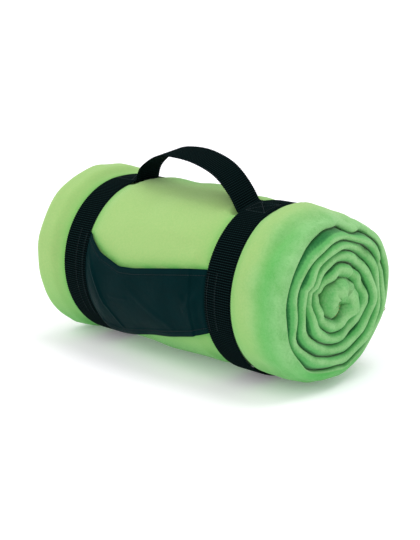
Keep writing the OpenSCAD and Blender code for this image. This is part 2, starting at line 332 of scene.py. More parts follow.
@dataclass(frozen=True)
class CoatedCloth:
    """Plain-woven nylon with a coated back, dark teal with a slight sheen."""

    thread: Colour = shade(0.0003, 0.0120, 0.0130)
    faded: Colour = shade(0.0008, 0.0150, 0.0165)

    def make(self) -> bpy.types.Material:
        """Return the panel cloth's material."""
        g = Graph("coated_cloth")
        u, v, _ = g.split(g.uv())
        over = (u * (2 * math.pi / 0.0009)).sine()
        under = (v * (2 * math.pi / 0.0009)).sine()
        weave = over * under * 0.5 + 0.5
        cloud = g.noise(g.place(), 60.0, 3.0, 0.6)
        colour = g.mix(cloud.band(0.3, 0.7) * 0.6 + weave * 0.3, self.thread, self.faded)
        normal = g.bump(weave, 0.00012, 0.6)
        normal = g.bump(g.noise(g.place(), 160.0, 3.0, 0.5), 0.0006, 0.5, normal)
        return g.finish(Base_Color=colour, Roughness=0.30 + cloud * 0.2, Normal=normal,
                        Specular_IOR_Level=0.015)


@dataclass(frozen=True)
class Yarn:
    """Twisted yarn or thread of one colour."""

    name: str
    dark: Colour
    light: Colour
    roughness: float = 0.7

    def make(self) -> bpy.types.Material:
        """Return the yarn's material."""
        g = Graph(self.name)
        fibre = g.noise(g.place(), 2600.0, 3.0, 0.7)
        colour = g.mix(fibre.band(0.35, 0.65), self.dark, self.light)
        return g.finish(Base_Color=colour, Roughness=self.roughness, Specular_IOR_Level=0.15,
                        Normal=g.bump(fibre, 0.0002, 0.7))


@dataclass(frozen=True)
class Satin:
    """Smooth woven ribbon of a care label."""

    white: Colour = shade(0.80, 0.80, 0.77)
    grey: Colour = shade(0.62, 0.62, 0.60)

    def make(self) -> bpy.types.Material:
        """Return the label ribbon's material."""
        g = Graph("label_satin")
        _, _, z = g.split(g.place())
        lines = (z * (2 * math.pi / 0.0007)).sine() * 0.5 + 0.5
        cloud = g.noise(g.place(), 300.0, 3.0, 0.6)
        colour = g.mix(cloud * 0.5 + lines * 0.2, self.white, self.grey)
        return g.finish(Base_Color=colour, Roughness=0.4 + cloud * 0.15,
                        Normal=g.bump(lines, 0.00008, 0.5))


class Finish(Enum):
    """The finishes of the model."""

    FLEECE = Fleece()
    WEBBING = Webbing()
    PANEL = CoatedCloth()
    THREAD = Yarn("sewing_thread", shade(0.003, 0.008, 0.009), shade(0.016, 0.030, 0.032), 0.6)
    OVERLOCK = Yarn("overlock_yarn", shade(0.13, 0.20, 0.04), shade(0.33, 0.34, 0.10), 0.85)
    LOOP = Yarn("loop_pile", shade(0.006, 0.012, 0.013), shade(0.03, 0.045, 0.045), 0.95)
    HOOK = Yarn("hook_nylon", shade(0.006, 0.009, 0.010), shade(0.02, 0.028, 0.03), 0.35)
    LABEL = Satin()


class Wardrobe:
    """Makes each finish once."""

    def __init__(self) -> None:
        """Start with no material made."""
        self.made: dict[Finish, bpy.types.Material] = {}

    def get(self, finish: Finish) -> bpy.types.Material:
        """Return a finish's material."""
        if finish not in self.made:
            self.made[finish] = finish.value.make()
        return self.made[finish]


WARDROBE = Wardrobe()


# ------------------------------------------------------------------ mesh helpers
def ease(t: np.ndarray) -> np.ndarray:
    """Return a smooth step of values held between 0 and 1."""
    t = np.clip(t, 0.0, 1.0)
    return t * t * (3 - 2 * t)


def hump(t: np.ndarray, middle: float, width: float) -> np.ndarray:
    """Return a bell of height 1.

    Args:
        t: The values.
        middle: Where the bell stands.
        width: Its half width.

    Returns:
        The bell at each value.
    """
    return np.exp(-((t - middle) / width) ** 2)


def turn_to(angle: np.ndarray, middle: float) -> np.ndarray:
    """Return the signed turn in degrees from a middle angle, -180 to 180."""
    return (angle - middle + 180.0) % 360.0 - 180.0


def through(x: np.ndarray, stops: Sequence[tuple[float, float]]) -> np.ndarray:
    """Return a curve that eases from stop to stop.

    Args:
        x: The places.
        stops: Pairs of place and value, in order.

    Returns:
        The value at each place.
    """
    places = np.array([s[0] for s in stops])
    values = np.array([s[1] for s in stops])
    k = np.clip(np.searchsorted(places, x) - 1, 0, len(places) - 2)
    share = ease((x - places[k]) / (places[k + 1] - places[k]))
    return values[k] + (values[k + 1] - values[k]) * share


def set_values(piece: bpy.types.Object, name: str, values: np.ndarray) -> None:
    """Give each point of a piece a value that its finish reads.

    Args:
        piece: The piece.
        name: The attribute's name.
        values: A value for each point, in order.
    """
    mark = piece.data.attributes.new(name, "FLOAT", "POINT")
    mark.data.foreach_set("value", values.astype(np.float32).ravel())


class Ripple:
    """A smooth repeatable field of waves in space."""

    def __init__(self, seed: int, wavelength: float, waves: int = 9) -> None:
        """Choose the waves.

        Args:
            seed: The fixed seed.
            wavelength: The typical wavelength, in the unit of the points.
            waves: The number of waves.
        """
        rng = np.random.default_rng(seed)
        way = rng.normal(size=(waves, 3))
        way /= np.linalg.norm(way, axis=1)[:, None]
        size = 2 * math.pi / (wavelength * rng.uniform(0.6, 1.7, waves))
        self.vectors = way * size[:, None]
        self.phases = rng.uniform(0, 2 * math.pi, waves)
        self.scale = math.sqrt(2.0 / waves)

    def at(self, points: np.ndarray) -> np.ndarray:
        """Return the field, about -1 to 1, at points of shape (..., 3)."""
        return np.sin(points @ self.vectors.T + self.phases).sum(-1) * self.scale * 0.7


def mesh_object(name: str, points: np.ndarray, faces: list, finish: Finish,
                uvs: Optional[np.ndarray] = None, smooth: bool = True) -> bpy.types.Object:
    """Make a mesh object.

    Args:
        name: The piece's name.
        points: Its vertices, in metres.
        faces: Its faces, as vertex numbers.
        finish: Its finish.
        uvs: A UV for each vertex, in metres of cloth.
        smooth: Whether it is shaded smooth.

    Returns:
        The object.
    """
    mesh = bpy.data.meshes.new(name)
    mesh.from_pydata([tuple(p) for p in points], [], faces)
    mesh.validate()
    if smooth:
        mesh.shade_smooth()
    if uvs is not None:
        layer = mesh.uv_layers.new(name="UVMap")
        loops = np.empty(len(mesh.loops), dtype=np.int32)
        mesh.loops.foreach_get("vertex_index", loops)
        layer.data.foreach_set("uv", uvs[loops].astype(np.float32).ravel())
    mesh.materials.append(WARDROBE.get(finish))
    piece = bpy.data.objects.new(name, mesh)
    bpy.context.scene.collection.objects.link(piece)
    return piece


def ring_faces(rows: int, cols: int) -> list:
    """Return the faces of an open tube whose rows are closed rings.

    Args:
        rows: The number of rings.
        cols: The number of points on a ring.

    Returns:
        The faces.
    """
    faces = []
    for r in range(rows - 1):
        base = r * cols
        for c in range(cols):
            d = (c + 1) % cols
            faces.append((base + c, base + d, base + cols + d, base + cols + c))
    return faces


def cloth_faces(rows: int, cols: int) -> list:
    """Return the faces of a sheet with a thickness.

    Args:
        rows: The number of rows.
        cols: The points of a row, out along one face of the cloth and back along the other.

    Returns:
        The faces, with the first and last rows closed.
    """
    faces = ring_faces(rows, cols)
    for base in (0, (rows - 1) * cols):
        for c in range(cols // 2 - 1):
            faces.append((base + c, base + c + 1, base + cols - 2 - c, base + cols - 1 - c))
    return faces


def arc_length(degrees: np.ndarray) -> np.ndarray:
    """Return the length in millimetres of an arc of the roll's outer face."""
    return degrees * math.pi / 180 * OUTER_RADIUS


def fit(piece: bpy.types.Object, body: str, slot: str, *nodes: str) -> bpy.types.Object:
    """Make a piece ride on a body and stand for the nodes that it replaces.

    Args:
        piece: The piece.
        body: The body that it moves with.
        slot: The record's material slot of its finish; not used.
        *nodes: The nodes that it replaces, if any.

    Returns:
        The piece.
    """
    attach(piece, body)
    if nodes:
        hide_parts(*nodes)
    return piece


def outward(piece: bpy.types.Object) -> bpy.types.Object:
    """Turn a closed piece's faces outwards and return it."""
    work = bmesh.new()
    work.from_mesh(piece.data)
    bmesh.ops.recalc_face_normals(work, faces=work.faces)
    work.to_mesh(piece.data)
    work.free()
    return piece


# ------------------------------------------------------------------ the roll's form
@dataclass
class RollForm:
    """The form of the roll, in millimetres, shared by everything that lies on it."""

    left_strap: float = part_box("left_strap")[0][0] / MM
    right_strap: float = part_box("right_strap")[0][0] / MM
    strap_width: float = (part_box("left_strap")[1][0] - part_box("left_strap")[0][0]) / MM
    axis_height: float = 75.6
    squash: float = 4.5
    lump: Ripple = field(default_factory=lambda: Ripple(3, 95.0))
    dent: Ripple = field(default_factory=lambda: Ripple(8, 34.0))

    def skin(self, x: np.ndarray, angle: np.ndarray) -> np.ndarray:
        """Return the radius of the roll's outer face.

        Args:
            x: Places along the roll.
            angle: Angles round it, in degrees, 90 at the top and 180 at the front.

        Returns:
            The radius at each place.
        """
        a, b = self.left_strap, self.left_strap + self.strap_width
        c, d = self.right_strap, self.right_strap + self.strap_width
        base = through(x, [
            (-158, 66), (-150, 77.5), (-143, 80), (-128, 80), (a - 2.5, 76),
            (a + 1.5, 74), (b - 1.5, 74), (b + 1.5, 75), (b + 17, 77), (10, 77.5), (48, 77),
            (c - 2.5, 75.5), (c + 1.5, 74), (d - 1.5, 74), (d + 2.5, 76.5), (107, 78),
            (118, 77.5), (130, 75), (140, 71), (152, 64)])
        tucked = self.tab(angle, a, b, x, 90.0) + self.tab(angle, c, d, x, 104.0)
        lined = ease((angle - 150.0) / 3.0) * ease((235.0 - angle) / 3.0)
        lined = lined * self.within(x, a + 13.0, b + 5) + lined * self.within(x, c - 15, d - 13.0)
        rise = 4.2 * hump(turn_to(angle, 78.0), 0.0, 48.0) * ease((-119.0 - x) / 12.0)
        return base - self.slack(x, angle) - 1.5 * tucked - 1.1 * lined + rise

    @staticmethod
    def within(x: np.ndarray, low: float, high: float) -> np.ndarray:
        """Return 1 between two places and 0 outside them, with soft ends."""
        return ease((x - low) / 1.5 + 0.5) * ease((high - x) / 1.5 + 0.5)

    def tab(self, angle: np.ndarray, low: float, high: float, x: np.ndarray,
            root: float) -> np.ndarray:
        """Return where a sewn end of the handle presses the fleece in.

        Args:
            angle: Angles round the roll.
            low: The strap's left edge.
            high: The strap's right edge.
            x: Places along the roll.
            root: The angle of the handle's root.

        Returns:
            The share of the press, 0 to 1.
        """
        near = ease((13.5 - np.abs(turn_to(angle, root))) / 2.0)
        inward = 7.0 if low < 0 else -7.0
        first, last = min(low, low + inward), max(high, high + inward)
        deep = 1 + 1.1 * ease((x - high + 1) / 3 if low < 0 else (low + 1 - x) / 3)
        return near * deep * self.within(x, first - 1, last + 1)

    def under_panel(self, x: np.ndarray, angle: np.ndarray) -> np.ndarray:
        """Return 1 where the panel keeps the fleece smooth and 0 away from it."""
        low, high = self.left_strap, self.right_strap + self.strap_width
        return (ease((angle - 140.0) / 10.0) * ease((246.0 - angle) / 10.0)
                * ease((x - low) / 6.0) * ease((high - x) / 6.0))

    @staticmethod
    def slack(x: np.ndarray, angle: np.ndarray) -> np.ndarray:
        """Return how far the roll and its strap sink behind the top, towards the right."""
        sink = 5.5 * ease((x + 40.0) / 110.0) + 1.6 * ease((x - 94.0) / 18.0)
        return sink * hump(turn_to(angle, 64.0), 0.0, 30.0)

    def plane(self, x: np.ndarray, y: np.ndarray, z: np.ndarray) -> np.ndarray:
        """Carry points of the ideal round section to their place on the real roll.

        Args:
            x: Places along the roll.
            y: Places across the ideal section.
            z: Heights above its axis.

        Returns:
            The points, of shape (..., 3), in millimetres.
        """
        rho = np.hypot(y, z)
        angle = np.degrees(np.arctan2(z, y)) % 360.0
        share = rho / OUTER_RADIUS
        scale = 1 + (self.skin(x, angle) / OUTER_RADIUS - 1) * share ** 2
        hollow = 1 - np.clip(share, 0, 1) ** 1.6
        out_y = y * scale - 5.5 * hollow
        out_z = z * scale + 1.5 * hollow
        out_y = out_y + np.clip(out_y / 30.0, -1, 1) * self.squash
        spot = np.stack([x, out_y, out_z], -1)
        loose = self.free_share(x) * (1 - 0.9 * self.under_panel(x, angle) * ease(
            (rho - 50.0) / 20.0))
        out_y = out_y + self.lump.at(spot) * 1.5 * loose
        out_z = out_z + self.lump.at(spot + 400.0) * 1.3 * loose
        swell = 1 + self.dent.at(spot) * (
            0.007 + 0.012 * ease((x - 108) / 22.0) * ease((74.0 - rho) / 14.0)) * loose
        out_y, out_z = out_y * swell, out_z * swell
        height = out_z + self.axis_height
        height = 0.5 * (height + np.sqrt(height ** 2 + 9.0))
        return np.stack([x, out_y, height], -1)

    def free_share(self, x: np.ndarray) -> np.ndarray:
        """Return how free the fleece is: 0 under a strap and 1 well away from both."""
        share = np.ones_like(x)
        for start in (self.left_strap, self.right_strap):
            middle = start + self.strap_width / 2
            share = share * ease((np.abs(x - middle) - self.strap_width / 2 + 1) / 16.0)
        return share

    def on_round(self, x: Number, angle: Number, radius: Number) -> Vector:
        """Return a point at an angle and radius on the squashed round, in metres.

        Args:
            x: The place along the roll.
            angle: The angle, in degrees.
            radius: The radius.

        Returns:
            The point.
        """
        radius = radius - float(self.slack(np.array(x), np.array(angle)))
        y = radius * math.cos(math.radians(angle))
        y = y + min(max(y / 12.0, -1), 1) * self.squash
        z = self.axis_height + radius * math.sin(math.radians(angle))
        return Vector((x * MM, y * MM, z * MM))


FORM = RollForm()


# ------------------------------------------------------------------ the blanket
@dataclass(frozen=True)
class Notch:
    """A notch in the folded edge of some turns, with its angle and width in degrees."""

    first: int
    last: int
    angle: float
    width: float
    depth: float


@dataclass
class Blanket:
    """A fleece sheet folded in four and rolled up from one end.

    The lengths are millimetres, apart from the cut size in metres, and the runs are degrees
    round the roll from the hem that lies outermost.
    """

    cut_width: float = 1.2
    cut_length: float = 1.5
    cloth: float = 2.5
    pitch: float = 11.2
    hem_angle: float = -20.0
    hem_thickness: float = 6.4
    core_swell: float = 10.5
    label_thickness: float = 0.7
    crease_start: float = 96.0
    crease_place: float = 133.0
    crease_slant: float = 0.22
    crease_depth: float = 3.6
    # How far the painted shade beside the straps and the panel fades, in millimetres
    strap_fade: float = 5.5
    panel_fade: float = 4.0
    full_run: float = 2070.0
    tightest: float = 6.2
    notches: Sequence[Notch] = (
        Notch(0, 1, 62, 5, 4.5), Notch(0, 1, 86, 5, 5.0), Notch(1, 2, 20, 5, 3.0),
        Notch(2, 9, 50, 6, 2.5), Notch(2, 9, 160, 5, 2.5))
    dents: Sequence[tuple[float, float, float]] = (
        (1935.0, 1.6, 15.0), (1520.0, 1.2, 26.0), (1830.0, 0.8, 20.0))

    def path(self) -> tuple[np.ndarray, np.ndarray]:
        """Return the packet's middle line in the ideal section, and its outward normals."""
        run = np.linspace(0, self.full_run, 5000)
        radius = self.middle_radius(run)
        for middle, depth, width in self.dents:
            radius = radius - depth * hump(run, middle, width)
        angle = np.radians(self.hem_angle + run)
        line = np.stack([radius * np.cos(angle), radius * np.sin(angle)], -1)
        step = np.linalg.norm(np.diff(line, axis=0), axis=1)
        run = np.concatenate([[0], np.cumsum(step)])
        places = [0.0]
        while places[-1] < run[-1]:
            here = np.interp(places[-1], run, np.hypot(line[:, 0], line[:, 1]))
            places.append(places[-1] + (4.2 if here > 64 else 5.2 if here > 30 else 2.4))
        places = np.array(places) * run[-1] / places[-1]
        out = np.stack([np.interp(places, run, line[:, k]) for k in (0, 1)], -1)
        way = np.gradient(out, axis=0)
        way /= np.linalg.norm(way, axis=1)[:, None]
        return out, np.stack([way[:, 1], -way[:, 0]], -1)

    def thickness(self, run: np.ndarray) -> np.ndarray:
        """Return the packet's thickness after a run in degrees from its pressed hem."""
        start = self.hem_thickness + (self.pitch - self.hem_thickness) * ease(run / 45.0)
        return start + self.core_swell * ease((run - 1710.0) / 100.0)

    def middle_radius(self, run: np.ndarray) -> np.ndarray:
        """Return the radius of the packet's middle after a run in degrees from its hem."""
        turn = np.floor(run / 360.0)
        rest = run - 360.0 * turn
        face = OUTER_RADIUS - self.hem_thickness * ease((rest - 190.0) / 170.0)
        face = face - np.where(turn >= 1, self.thickness(rest), 0)
        face = face - self.pitch * np.maximum(turn - 1, 0)
        middle = face - self.thickness(run) / 2
        return self.tightest + np.logaddexp(0, (middle - self.tightest) / 1.5) * 1.5

    @staticmethod
    def spline(knots: np.ndarray, values: np.ndarray, at: np.ndarray,
               start: np.ndarray) -> np.ndarray:
        """Return a smooth curve through points.

        Args:
            knots: The parameter of each point.
            values: The points.
            at: The parameters to return.
            start: The direction at the first point.

        Returns:
            The curve's points.
        """
        slope = np.gradient(values, knots, axis=0)
        slope[0] = start * np.linalg.norm(slope[0])
        k = np.clip(np.searchsorted(knots, at) - 1, 0, len(knots) - 2)
        wide = (knots[k + 1] - knots[k])[:, None]
        t = ((at - knots[k])[:, None]) / wide
        a, b, m, n = values[k], values[k + 1], slope[k] * wide, slope[k + 1] * wide
        return ((2 * t ** 3 - 3 * t ** 2 + 1) * a + (t ** 3 - 2 * t ** 2 + t) * m
                + (3 * t ** 2 - 2 * t ** 3) * b + (t ** 3 - t ** 2) * n)

    def ends(self, line: np.ndarray) -> tuple[np.ndarray, np.ndarray]:
        """Return where the packet's folded edges lie along the roll.

        Args:
            line: The packet's middle line.

        Returns:
            The left and the right end at each step.
        """
        radius = np.hypot(line[:, 0], line[:, 1])
        angle = self.bearing(line)
        way = np.radians(angle)
        wave = 1.2 * np.sin(way * 1.7 + 1) + 0.9 * np.sin(way * 3.1)
        drop = np.clip((radius - 40.0) / 40.0, 0, 1)
        right = 149.5 - 17.0 * (1 - np.sqrt(1 - drop ** 2)) + wave
        turned = angle - angle[0]
        right -= 3.0 * ease((turned - 1990) / 60.0)
        right += 1.0 * ease((turned - 1740) / 60.0)
        way = np.radians(turned)
        pucker = 1.1 * np.sin(way * 5.3) + 0.9 * np.sin(way * 8.9 + 2)
        right += pucker * ease((turned - 120) / 200.0)
        left = -155.0 + 5.0 * np.clip((radius - 55) / 16.0, 0, 1) ** 2 - wave
        for notch in self.notches:
            inside = (turned >= 360.0 * notch.first) & (turned < 360.0 * notch.last)
            depth = notch.depth * hump(turn_to(angle, notch.angle), 0.0, notch.width)
            right -= np.where(inside, depth, 0)
        return left, right

    def section(self, fine: np.ndarray) -> tuple[np.ndarray, np.ndarray, np.ndarray]:
        """Return the folded cloth's middle line across the packet.

        Args:
            fine: Shares, 0 to 1 from left to right, of the outer layer's columns.

        Returns:
            The share along the roll, a stretch beyond the ends, and the height in the packet.
        """
        gap = self.pitch / 4
        level = [1.5 * gap, 0.5 * gap, -0.5 * gap, -1.5 * gap]
        coarse = np.linspace(0, 1, 9)
        share, extra, height = [], [], []

        def layer(shares: np.ndarray, level_at: float) -> None:
            share.extend(shares)
            extra.extend([0.0] * len(shares))
            height.extend([level_at] * len(shares))

        def fold(side: float, middle: float, radius: float, steps: int, down: bool) -> None:
            for k in range(1, steps):
                angle = math.pi * k / steps
                share.append(side)
                extra.append(radius * math.sin(angle) * (1 if side > 0.5 else -1))
                height.append(middle + radius * math.cos(angle) * (1 if down else -1))

        layer(coarse, level[2])
        fold(1.0, 0.0, 0.5 * gap, 5, False)
        layer(coarse[::-1], level[1])
        fold(0.0, gap, 0.5 * gap, 5, False)
        layer(fine, level[0])
        fold(1.0, 0.0, 1.5 * gap, 11, True)
        layer(coarse[::-1], level[3])
        return np.array(share), np.array(extra), np.array(height)

    def build(self) -> list[bpy.types.Object]:
        """Build the blanket with its overlocked hems and its label.

        Returns:
            The pieces.
        """
        line, normal = self.path()
        left, right = self.ends(line)
        marks = np.concatenate([
            np.linspace(-150, -117, 12), np.linspace(-114, -84, 8), np.linspace(-80, -66, 5),
            np.linspace(-58, 46, 16), np.linspace(52, 63, 4), np.linspace(66, 94, 8),
            np.linspace(96, 120, 9), np.linspace(122.5, 150, 12)])
        fine = (marks + 150.0) / 300.0
        share, extra, height = self.section(fine)
        reach = 1.5 * self.pitch / 4
        x_mid = (left + reach)[:, None] + share[None] * (right - left - 2 * reach)[:, None]
        turned = self.bearing(line)
        turned = turned - turned[0]
        pressed = self.thickness(turned) / self.pitch
        x_mid = x_mid + extra[None] * pressed[:, None]
        flow = np.stack([x_mid[0], height], -1)
        tangent = np.gradient(flow, axis=0)
        tangent /= np.linalg.norm(tangent, axis=1)[:, None] + 1e-9
        side = np.stack([-tangent[:, 1], tangent[:, 0]], -1)
        half = self.cloth / 2
        x_ring, h_ring = [], []
        for sign in (1, -1):
            x_side = x_mid + side[None, :, 0] * half * sign
            h_side = np.broadcast_to(height + side[:, 1] * half * sign, x_side.shape)
            x_ring.append(x_side if sign > 0 else x_side[:, ::-1])
            h_ring.append(h_side if sign > 0 else h_side[:, ::-1])
        x = np.concatenate(x_ring, 1)
        h = np.concatenate(h_ring, 1)
        h = h * pressed[:, None]
        y = line[:, 0][:, None] + normal[:, 0][:, None] * h
        z = line[:, 1][:, None] + normal[:, 1][:, None] * h
        points = self.pucker(FORM.plane(x, y, z), x, y, z)
        rows, cols = x.shape
        across, along = np.linspace(0, self.cut_width, cols), np.linspace(0, self.cut_length, rows)
        uv = np.stack(np.meshgrid(across, along), -1)
        piece = outward(mesh_object("rolled_fleece", points.reshape(-1, 3) * MM,
                                    cloth_faces(rows, cols), Finish.FLEECE, uv.reshape(-1, 2)))
        level = h / (reach + half)
        # Masks for the painted shade, in the end's creases and on the outer turn
        set_values(piece, "crease", self.creases(level, turned, x))
        set_values(piece, "glow", self.shades(level, turned, x))
        fit(piece, "blanket", "fleece", "fleece_blanket")
        return [piece, self.hems(points, cols // 2), self.label()]

    @staticmethod
    def bearing(line: np.ndarray) -> np.ndarray:
        """Return the unbroken angle in degrees of each step of a line round the roll."""
        return np.degrees(np.unwrap(np.arctan2(line[:, 1], line[:, 0])))

    @staticmethod
    def is_outer(height: np.ndarray, run: np.ndarray) -> np.ndarray:
        """Return whether each point lies on the face of the outermost turn."""
        return (run < 360.0)[:, None] & (height > -0.1)

    def creases(self, height: np.ndarray, run: np.ndarray, x: np.ndarray) -> np.ndarray:
        """Return how deep each point lies between two turns at the tidy end, for painted shade.

        Args:
            height: Each point's height in the packet, 1 at its faces.
            run: Each step's angle from the hem.
            x: Each point's place along the roll.

        Returns:
            The depth, 0 to 1.
        """
        deep = np.clip(np.abs(height), 0, 1)
        deep = deep * (1 - 0.45 * ease((run - 1690.0) / 80.0))[:, None]
        return np.where(self.is_outer(height, run) | (x < 100.0), 0.0, deep)

    def shades(self, height: np.ndarray, run: np.ndarray, x: np.ndarray) -> np.ndarray:
        """Return the painted shade, a deeper green, on the outer turn beside what presses on it.

        Args:
            height: Each point's height in the packet, 1 at its faces.
            run: Each step's angle from the hem.
            x: Each point's place along the roll.

        Returns:
            The share of the painted shade, 0 to 1.
        """
        angle = np.broadcast_to((run + self.hem_angle)[:, None] % 360.0, x.shape)
        glow = np.zeros_like(x)
        # Painted shade along each strap's edges, fading out beside the strap and 3 mm under it
        for start in (FORM.left_strap, FORM.right_strap):
            away = np.abs(x - start - FORM.strap_width / 2) - FORM.strap_width / 2
            rim = np.exp(-np.clip(away, 0, None) / self.strap_fade) * ease((away + 3.0) / 3.0)
            glow = np.maximum(glow, 0.75 * rim)
        # Painted shade along the panel's top and bottom edges, between the straps
        panel = Panel()
        top = arc_length(panel.edge(x, panel.top_stops) - angle)
        low = arc_length(angle - panel.edge(x, panel.low_stops))
        between = (x > FORM.left_strap) & (x < FORM.right_strap + 10)
        away = np.maximum(top, low)
        near = np.exp(-np.clip(away, 0, None) / self.panel_fade)
        near = near * ease(away / self.panel_fade + 1)
        glow = np.maximum(glow, np.where(between, near, 0))
        # Painted shade on the underside of the roll
        glow = np.maximum(glow, 0.9 * ease((angle - 207.0) / 38.0) * ease((318 - angle) / 30.0))
        # Painted shade on the crown under the handle
        crown = hump(turn_to(angle, 72.0), 0.0, 17.0) * ease((x + 84.0) / 30.0)
        glow = np.maximum(glow, 0.6 * crown * ease((64.0 - x) / 16.0))
        # Painted shade on the shoulder just before the end's crease
        side = ease((angle - 96.0) / 40.0) * ease((272.0 - angle) / 40.0)
        glow = np.maximum(glow, 0.65 * hump(x, 129.0, 9.0) * side)
        return np.where(self.is_outer(height, run), glow, 0)

    def pucker(self, points: np.ndarray, x: np.ndarray, y: np.ndarray,
               z: np.ndarray) -> np.ndarray:
        """Press creases and puckers into the roll.

        Args:
            points: The roll's points.
            x: Their places along the roll.
            y: Their places across the ideal section.
            z: Their heights in the ideal section.

        Returns:
            The creased points.
        """
        rho = np.hypot(y, z)
        angle = np.degrees(np.arctan2(z, y)) % 360.0
        out = points.copy()
        spokes = np.stack([np.cos(np.radians(angle)), np.sin(np.radians(angle))], -1)
        # The outer turn's folded edge runs out onto the shoulder in a crease
        away = turn_to(angle, self.crease_start)
        crease = self.crease_place - self.crease_slant * away
        depth = self.crease_depth * ease((away + 6) / 12.0) * (1 - ease((away - 26) / 30.0))
        outer = ease((rho - 60) / 8.0)
        behind = np.where(x > crease, np.exp(-((x - crease) / 9.0) ** 2),
                          np.exp(-((x - crease) / 2.2) ** 2))
        push = depth * behind * outer
        # A bump where the fold is gathered, near the top
        bump = 3.0 * hump(turn_to(angle, 74.0), 0.0, 9.0) * ease((x - 120) / 16.0) * outer
        push = push + 0.9 * bump
        # A pucker that points into the hollow of the core
        core = (1 - ease((rho - 16) / 9.0)) * ease((x - 96) / 40.0)
        push = push + 2.5 * core * hump(turn_to(angle, 82.0), 0.0, 16.0)
        out[..., 1] -= push * spokes[..., 0]
        out[..., 2] -= push * spokes[..., 1]
        return out

    def hems(self, grid: np.ndarray, half_cols: int) -> bpy.types.Object:
        """Whip the overlock yarn round the blanket's cut edges.

        Args:
            grid: The blanket's points, step by step.
            half_cols: The number of points on each face of the cloth.

        Returns:
            The piece.
        """
        middle = (grid[:, :half_cols] + grid[:, ::-1][:, :half_cols]) / 2 * MM
        edges = [middle[0], middle[-1], middle[:, 0], middle[:, -1]]
        piece = Stitching("overlock_hem", 2.6 * MM, StitchKind.WHIP).along(edges, Finish.OVERLOCK)
        return fit(piece, "blanket", "hem_yarn", "hem_overlock")

    def label(self) -> bpy.types.Object:
        """Build the folded care label, which hangs from the hem at the loose end."""
        low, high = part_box("care_label")
        rows, cols = 20, 9
        down, column = np.meshgrid(np.linspace(0, 1, rows), np.arange(cols), indexing="ij")
        bend = 0.0016 * np.sin(down * 3.0) + 0.0008 * np.sin(column * 0.9 + down * 2)
        back = np.stack([low[0] + (high[0] - low[0]) * column / (cols - 1),
                         low[1] + bend * down, high[2] + (low[2] - high[2]) * down], -1)
        face = back + np.array([0.0, self.label_thickness * MM, 0.0])
        grid = np.concatenate([back, face[:, ::-1]], 1)
        piece = outward(mesh_object("care_ribbon", grid.reshape(-1, 3),
                                    cloth_faces(rows, 2 * cols), Finish.LABEL))
        return fit(piece, "blanket", "label_cloth", "care_label")


# ------------------------------------------------------------------ stitching
class StitchKind(Enum):
    """How a line of thread is laid."""

    RUNNING = "running"
    WHIP = "whip"
    HOOKS = "hooks"
    PILE = "pile"


